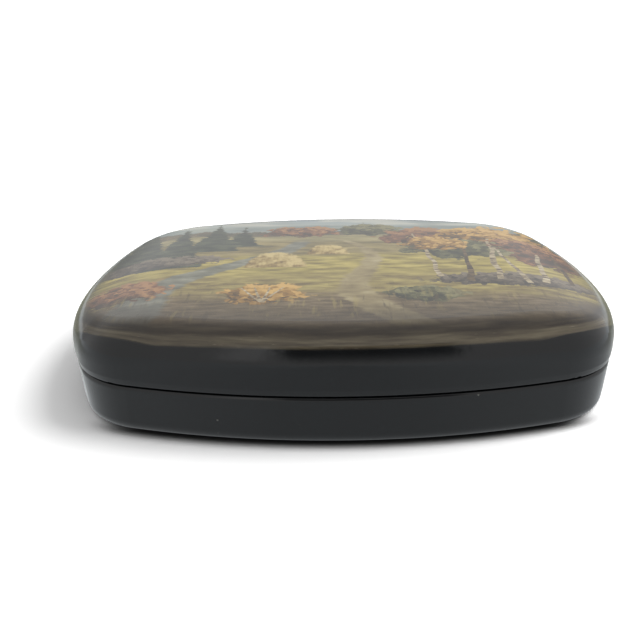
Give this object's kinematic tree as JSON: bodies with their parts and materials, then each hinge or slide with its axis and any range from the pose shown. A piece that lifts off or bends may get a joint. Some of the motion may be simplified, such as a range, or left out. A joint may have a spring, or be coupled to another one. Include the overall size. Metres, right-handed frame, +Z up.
{
  "type": "hinged lacquer box",
  "caption": "Low lacquered papier-mâché box with bowed sides and a crowned, painted lid on a wire hinge let into the back walls; holds jewellery and other small things.",
  "frame": {"origin": "middle of the underside that the box stands on", "axes": "+X along the long side, to the right seen from the front; +Y from the front to the hinged back; +Z up"},
  "size_m": [0.16, 0.12, 0.0311],
  "materials": {
    "black_lacquer": "polished black lacquer",
    "red_lacquer": "polished red lacquer",
    "painted_lacquer": "painted picture under clear lacquer",
    "hinge_brass": "drawn brass",
    "pin_steel": "drawn wire"
  },
  "bodies": {
    "base": {"base_bottom": "black_lacquer", "base_wall": "black_lacquer", "base_collar": "red_lacquer", "hinge_base_leaf": "hinge_brass", "hinge_pin": "pin_steel", "base_leaf_pins": "pin_steel"},
    "lid": {"lid_wall": "black_lacquer", "lid_panel": "painted_lacquer", "hinge_lid_leaf": "hinge_brass", "lid_leaf_pins": "pin_steel"}
  },
  "joints": [
    {"name": "lid_hinge", "type": "hinge", "parent": "base", "child": "lid", "pos_m": [0, 0.0584, 0.01388], "axis": [-1, 0, 0], "range_deg": [0, 100]}
  ]
}
